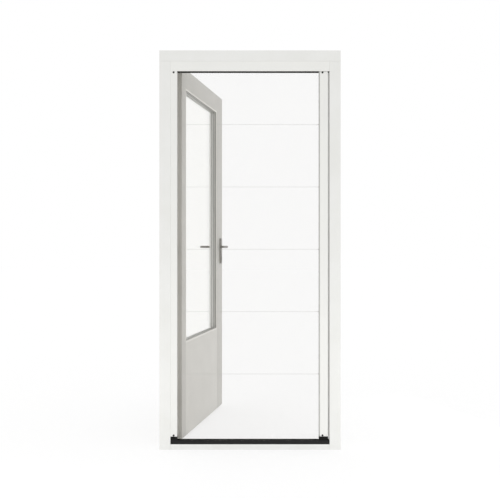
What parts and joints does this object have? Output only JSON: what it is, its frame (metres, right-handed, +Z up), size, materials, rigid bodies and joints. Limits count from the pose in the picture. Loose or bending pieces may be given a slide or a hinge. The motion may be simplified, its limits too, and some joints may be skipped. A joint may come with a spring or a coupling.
{
  "type": "pleated screen door with glazed leaf",
  "caption": "Tall white door frame with a side-drawn pleated insect screen in its front reveal and a half-glazed grey door leaf opening inwards on lever handles.",
  "frame": {"origin": "middle of the underside of the sill", "axes": "+X to the right seen from outside, +Y inwards through the doorway, +Z up"},
  "size_m": [0.99, 1.0289, 2.18],
  "materials": {
    "frame_paint": "satin",
    "leaf_paint": "satin",
    "white_coating": "powder coated, satin",
    "black_coating": "powder coated, satin",
    "black_plastic": "matt",
    "grey_plastic": "matt",
    "seal_rubber": "matt",
    "mesh": "fine open weave",
    "cord": "braided",
    "steel": "brushed",
    "glass": "clear",
    "spacer": "mill finish"
  },
  "bodies": {
    "door_frame": {"jamb_left": "frame_paint", "jamb_right": "frame_paint", "head": "frame_paint", "sill": "frame_paint", "stop_seals": "seal_rubber", "frame_hinge_halves": "steel", "strike_plate": "steel", "screen_top_rail": "white_coating", "screen_top_track": "black_plastic", "screen_bottom_rail": "black_coating", "side_profile": "white_coating", "side_foot": "black_plastic", "side_mesh_clip": "grey_plastic", "side_studs": "black_plastic", "catch_strip": "grey_plastic", "pleated_mesh": "mesh", "tension_cords": "cord"},
    "pull_bar": {"pull_bar": "white_coating", "bar_magnet": "grey_plastic", "bar_mesh_clip": "grey_plastic", "bar_shoe": "black_plastic", "bar_glider": "black_plastic", "bar_studs": "black_plastic"},
    "door_leaf": {"hinge_stile": "leaf_paint", "lock_stile": "leaf_paint", "leaf_top_rail": "leaf_paint", "lower_panel": "leaf_paint", "outer_pane": "glass", "inner_pane": "glass", "pane_spacer": "spacer", "outer_bead_sides": "leaf_paint", "outer_bead_ends": "leaf_paint", "inner_bead_sides": "leaf_paint", "inner_bead_ends": "leaf_paint", "leaf_hinge_halves": "steel", "lock_faceplate": "steel", "outer_handle_plate": "steel", "inner_handle_plate": "steel", "lock_cylinder": "steel"},
    "levers": {"outer_lever": "steel", "inner_lever": "steel", "lever_spindle": "steel"}
  },
  "joints": [
    {"name": "pull_bar_slide", "type": "slide", "parent": "door_frame", "child": "pull_bar", "axis": [-1, 0, 0], "range_m": [0, 0.684], "deforming": ["pleated_mesh", "tension_cords"]},
    {"name": "leaf_hinge", "type": "hinge", "parent": "door_frame", "child": "door_leaf", "pos_m": [-0.4485, 0.083, 0], "axis": [0, 0, 1], "range_deg": [-77.5, 28]},
    {"name": "lever_turn", "type": "hinge", "parent": "door_leaf", "child": "levers", "pos_m": [-0.23057, 0.89969, 1.108], "axis": [0.9763, -0.2164, 0], "range_deg": [0, 40], "stiffness_Nm_per_rad": 1, "springref_deg": -34.38}
  ]
}
